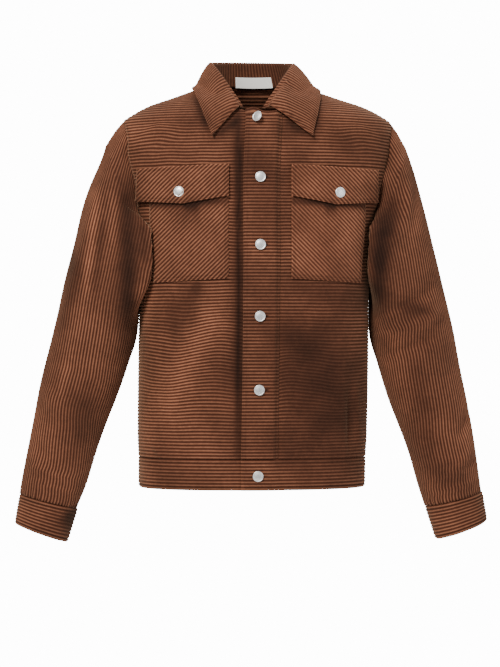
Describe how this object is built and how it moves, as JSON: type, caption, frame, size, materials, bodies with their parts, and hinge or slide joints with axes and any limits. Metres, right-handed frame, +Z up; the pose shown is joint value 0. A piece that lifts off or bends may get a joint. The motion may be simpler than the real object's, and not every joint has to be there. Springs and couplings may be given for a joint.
{
  "type": "corduroy jacket",
  "caption": "Waist-length corduroy jacket in its worn, hollow form: shirt collar, buttoned front, bias chest pockets with flaps, plain cuffs and hem band.",
  "frame": {"origin": "on the axis of the neck, level with the tops of the shoulders, where the wearer's shoulders hold the jacket up", "axes": "+Z up, the front faces -Y, +X towards the wearer's left sleeve"},
  "size_m": [0.7719, 0.2602, 0.7904],
  "materials": {
    "corduroy": "matte",
    "label_cloth": "matte",
    "button_metal": "satin"
  },
  "bodies": {
    "root": {"front_left": "corduroy", "front_right": "corduroy", "placket": "corduroy", "back": "corduroy", "sleeve_left": "corduroy", "sleeve_right": "corduroy", "cuff_left": "corduroy", "cuff_right": "corduroy", "waistband_front_left": "corduroy", "waistband_front_right": "corduroy", "waistband_back": "corduroy", "collar_stand": "corduroy", "collar_leaf": "corduroy", "back_neck_facing": "corduroy", "pocket_left": "corduroy", "pocket_right": "corduroy", "flap_left": "corduroy", "flap_right": "corduroy", "neck_label": "label_cloth", "button_1": "button_metal", "button_2": "button_metal", "button_3": "button_metal", "button_4": "button_metal", "button_5": "button_metal", "button_band": "button_metal", "button_flap_left": "button_metal", "button_flap_right": "button_metal"}
  },
  "joints": []
}
